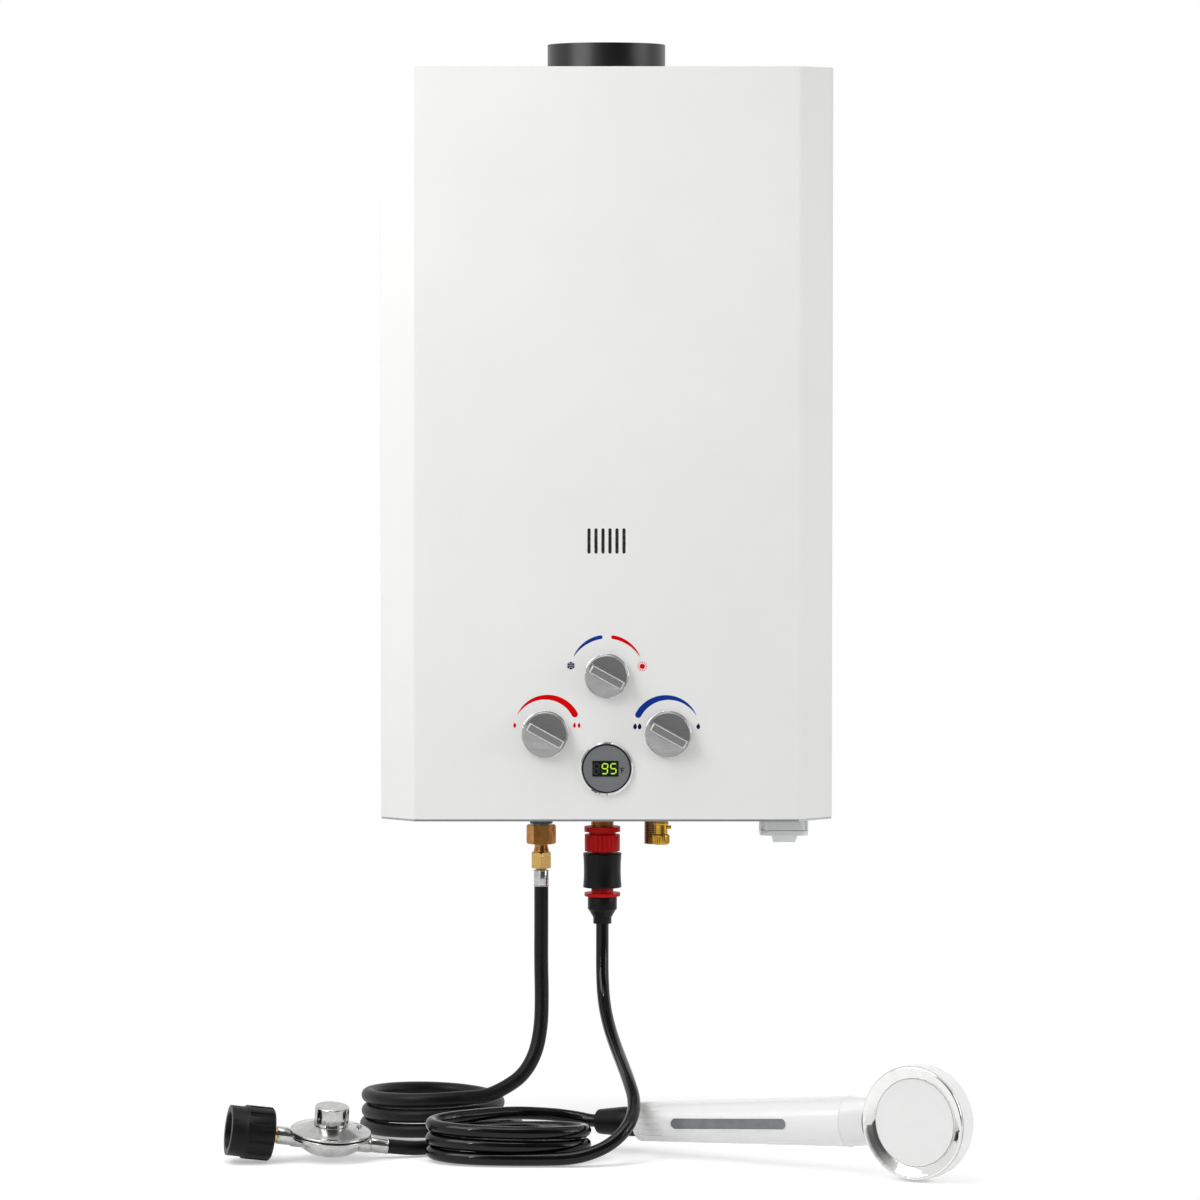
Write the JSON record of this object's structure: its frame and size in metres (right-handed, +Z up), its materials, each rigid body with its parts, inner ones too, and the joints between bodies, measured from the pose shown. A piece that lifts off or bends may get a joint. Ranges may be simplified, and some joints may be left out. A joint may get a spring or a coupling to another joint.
{
  "type": "propane tankless water heater",
  "caption": "Wall-hung outdoor propane water heater with folded steel case, front knobs and display, gas hose with regulator, and hand shower on a quick-connect hose.",
  "frame": {"origin": "midway between the two upper wall holes, on the wall side of the back plate", "axes": "+Z up, -Y out of the front cover, +X to the right seen from the front"},
  "size_m": [0.6736, 0.4336, 1.02],
  "materials": {
    "white_steel": "white powder coat",
    "galvanised_steel": "plain zinc-coated sheet",
    "black_enamel": "glossy black enamel",
    "copper": "drawn copper",
    "brass": "turned brass",
    "cast_alloy": "die-cast, as cast",
    "zinc_plate": "bright zinc plate",
    "chrome": "polished chrome plate",
    "grey_plastic": "satin moulded",
    "display_grey": "satin moulded",
    "display_black": "gloss window",
    "black_plastic": "fine moulded texture",
    "red_plastic": "moulded",
    "white_plastic": "gloss moulded",
    "frosted_plastic": "frosted translucent",
    "window_grey": "tinted",
    "hose_rubber": "smooth black rubber",
    "hose_vinyl": "glossy black vinyl",
    "grommet_rubber": "grey rubber",
    "mica": "smoky sheet",
    "ceramic": "glazed"
  },
  "bodies": {
    "heater": {"back_plate": "galvanised_steel", "front_cover": "white_steel", "top_plate": "white_steel", "bottom_plate": "galvanised_steel", "flue_collar": "black_enamel", "sight_window": "mica", "draft_hood": "galvanised_steel", "exchanger_core": "copper", "combustion_chamber": "copper", "exchanger_tube": "copper", "hot_pipe": "copper", "burner_tray": "galvanised_steel", "burner_bars": "galvanised_steel", "gas_manifold": "cast_alloy", "gas_valve": "cast_alloy", "water_valve": "brass", "season_valve": "cast_alloy", "display_bezel": "chrome", "display_face": "display_grey", "display_window": "display_black", "igniter_box": "black_plastic", "ignition_electrodes": "ceramic", "overheat_thermostat": "black_plastic", "microswitch": "black_plastic", "gas_grommet": "grommet_rubber", "gas_adaptor": "brass", "gas_hose_upper_ferrule": "zinc_plate", "gas_hose_drop": "hose_rubber", "gas_hose_coil": "hose_rubber", "gas_hose_tail": "hose_rubber", "gas_hose_lower_ferrule": "zinc_plate", "regulator_body": "zinc_plate", "regulator_cover": "zinc_plate", "regulator_cap": "zinc_plate", "tank_nipple": "brass", "hot_tap_nut": "red_plastic", "connector_core": "red_plastic", "hose_nut": "black_plastic", "cold_inlet_pipe": "brass", "drain_valve": "brass", "battery_box": "frosted_plastic", "batteries": "zinc_plate", "shower_hose_drop": "hose_vinyl", "shower_hose_coil": "hose_vinyl", "shower_hose_tail": "hose_vinyl", "shower_handle": "white_plastic", "handle_window": "window_grey", "shower_head": "white_plastic", "shower_ring": "chrome", "spray_plate": "white_plastic"},
    "season_knob_body": {"season_knob": "grey_plastic"},
    "gas_knob_body": {"gas_knob": "grey_plastic"},
    "water_knob_body": {"water_knob": "grey_plastic"},
    "battery_door_body": {"battery_door": "frosted_plastic"},
    "drain_plug_body": {"drain_plug": "brass"},
    "sleeve_body": {"connector_sleeve": "black_plastic"},
    "flare_nut_body": {"gas_flare_nut": "brass"},
    "tank_nut_body": {"tank_nut": "black_plastic"},
    "cone_nut_body": {"shower_cone_nut": "black_plastic"}
  },
  "joints": [
    {"name": "season_knob_turn", "type": "hinge", "parent": "heater", "child": "season_knob_body", "pos_m": [0, -0.175, -0.502], "axis": [0, 1, 0], "range_deg": [0, 122]},
    {"name": "gas_knob_turn", "type": "hinge", "parent": "heater", "child": "gas_knob_body", "pos_m": [-0.057, -0.175, -0.556], "axis": [0, 1, 0], "range_deg": [0, 122]},
    {"name": "water_knob_turn", "type": "hinge", "parent": "heater", "child": "water_knob_body", "pos_m": [0.057, -0.175, -0.556], "axis": [0, 1, 0], "range_deg": [0, 122]},
    {"name": "battery_door_swing", "type": "hinge", "parent": "heater", "child": "battery_door_body", "pos_m": [0.1665, -0.0804, -0.6527], "axis": [1, 0, 0], "range_deg": [0, 95]},
    {"name": "drain_plug_turn", "type": "hinge", "parent": "heater", "child": "drain_plug_body", "pos_m": [0.0511, -0.135, -0.652], "axis": [0, 0, 1], "continuous": true},
    {"name": "sleeve_release", "type": "slide", "parent": "heater", "child": "sleeve_body", "axis": [0, 0, -1], "range_m": [0, 0.0045], "stiffness_N_per_m": 300, "springref_m": -0.002},
    {"name": "flare_nut_turn", "type": "hinge", "parent": "heater", "child": "flare_nut_body", "pos_m": [-0.0612, -0.1, -0.68], "axis": [0, 0, 1], "continuous": true},
    {"name": "tank_nut_turn", "type": "hinge", "parent": "heater", "child": "tank_nut_body", "pos_m": [-0.32042, -0.28861, -0.91013], "axis": [-0.9698, -0.2061, 0.1305], "continuous": true},
    {"name": "cone_nut_turn", "type": "hinge", "parent": "heater", "child": "cone_nut_body", "pos_m": [0.0315, -0.24, -0.907], "axis": [0.8455, -0.5284, 0.0767], "continuous": true}
  ]
}
